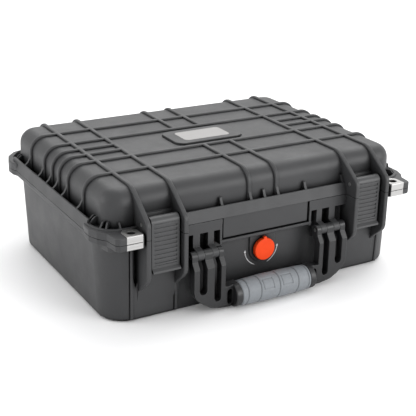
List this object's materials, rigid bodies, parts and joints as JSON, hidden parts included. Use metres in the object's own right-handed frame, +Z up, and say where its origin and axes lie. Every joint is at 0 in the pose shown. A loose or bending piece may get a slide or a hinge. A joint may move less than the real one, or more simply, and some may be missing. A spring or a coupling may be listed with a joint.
{
  "type": "lipo battery hard case",
  "caption": "Rugged moulded hard case for lipo batteries: ribbed lid, draw latches, folding grip handle, pressure valve, padlock ears and foam inside.",
  "frame": {"origin": "on the ground, at the centre of the flat underside", "axes": "+X to the right along the long side, +Y from the handle to the hinges, +Z up"},
  "size_m": [0.4252, 0.369, 0.155],
  "materials": {
    "shell_plastic": "fine moulded grain, satin, charcoal grey",
    "latch_plastic": "fine grain, ribbed face",
    "handle_plastic": "smooth satin, near black",
    "grip_rubber": "soft moulded rubber, blue grey, panel lines",
    "knob_plastic": "smooth orange red",
    "plate_steel": "brushed and bright",
    "pin_steel": "ground",
    "badge_metal": "fine brushed, blank",
    "valve_brass": "turned",
    "washer_rubber": "black",
    "gasket_rubber": "black, matt",
    "foam": "open cell foam, charcoal"
  },
  "bodies": {
    "base": {"base_shell": "shell_plastic", "hinge_pin_left": "pin_steel", "hinge_pin_right": "pin_steel", "padlock_plate_base_left": "plate_steel", "padlock_plate_base_right": "plate_steel", "valve_body": "valve_brass", "valve_washer": "washer_rubber", "valve_nut": "valve_brass", "handle_pin_left": "pin_steel", "handle_pin_right": "pin_steel", "base_foam_pad": "foam", "base_foam_tray": "foam"},
    "lid": {"lid_shell": "shell_plastic", "lid_gasket": "gasket_rubber", "badge_plate": "badge_metal", "padlock_plate_lid_left": "plate_steel", "padlock_plate_lid_right": "plate_steel", "lid_foam": "foam", "latch_pin_left": "pin_steel", "latch_pin_right": "pin_steel"},
    "handle": {"handle_frame": "handle_plastic", "handle_grip": "grip_rubber"},
    "valve_seal": {"valve_oring": "washer_rubber"},
    "valve_knob": {"valve_knob": "knob_plastic"},
    "latch_left": {"latch_lever_left": "latch_plastic", "latch_hook_pin_left": "pin_steel"},
    "hook_left": {"latch_hook_left": "latch_plastic"},
    "latch_right": {"latch_lever_right": "latch_plastic", "latch_hook_pin_right": "pin_steel"},
    "hook_right": {"latch_hook_right": "latch_plastic"}
  },
  "joints": [
    {"name": "lid_hinge", "type": "hinge", "parent": "base", "child": "lid", "pos_m": [0, 0.176, 0.1055], "axis": [-1, 0, 0], "range_deg": [0, 105]},
    {"name": "handle_swing", "type": "hinge", "parent": "base", "child": "handle", "pos_m": [0, -0.161, 0.07], "axis": [-1, 0, 0], "range_deg": [0, 110]},
    {"name": "valve_lift", "type": "slide", "parent": "base", "child": "valve_seal", "axis": [0, -1, 0], "range_m": [0, 0.0015]},
    {"name": "valve_turn", "type": "hinge", "parent": "valve_seal", "child": "valve_knob", "pos_m": [0, -0.15, 0.0555], "axis": [0, -1, 0], "range_deg": [0, 270]},
    {"name": "latch_left_lever", "type": "hinge", "parent": "lid", "child": "latch_left", "pos_m": [-0.1368, -0.1593, 0.1193], "axis": [-1, 0, 0], "range_deg": [0, 120]},
    {"name": "latch_left_hook", "type": "hinge", "parent": "latch_left", "child": "hook_left", "pos_m": [-0.1368, -0.1523, 0.1073], "axis": [-1, 0, 0], "range_deg": [-120, 0]},
    {"name": "latch_right_lever", "type": "hinge", "parent": "lid", "child": "latch_right", "pos_m": [0.1368, -0.1593, 0.1193], "axis": [-1, 0, 0], "range_deg": [0, 120]},
    {"name": "latch_right_hook", "type": "hinge", "parent": "latch_right", "child": "hook_right", "pos_m": [0.1368, -0.1523, 0.1073], "axis": [-1, 0, 0], "range_deg": [-120, 0]}
  ],
  "couplings": [
    {"joint": "valve_lift", "follows": "valve_turn", "m_per_rad": 0.00031831},
    {"joint": "latch_left_hook", "follows": "latch_left_lever", "ratio": -1},
    {"joint": "latch_right_hook", "follows": "latch_right_lever", "ratio": -1}
  ]
}
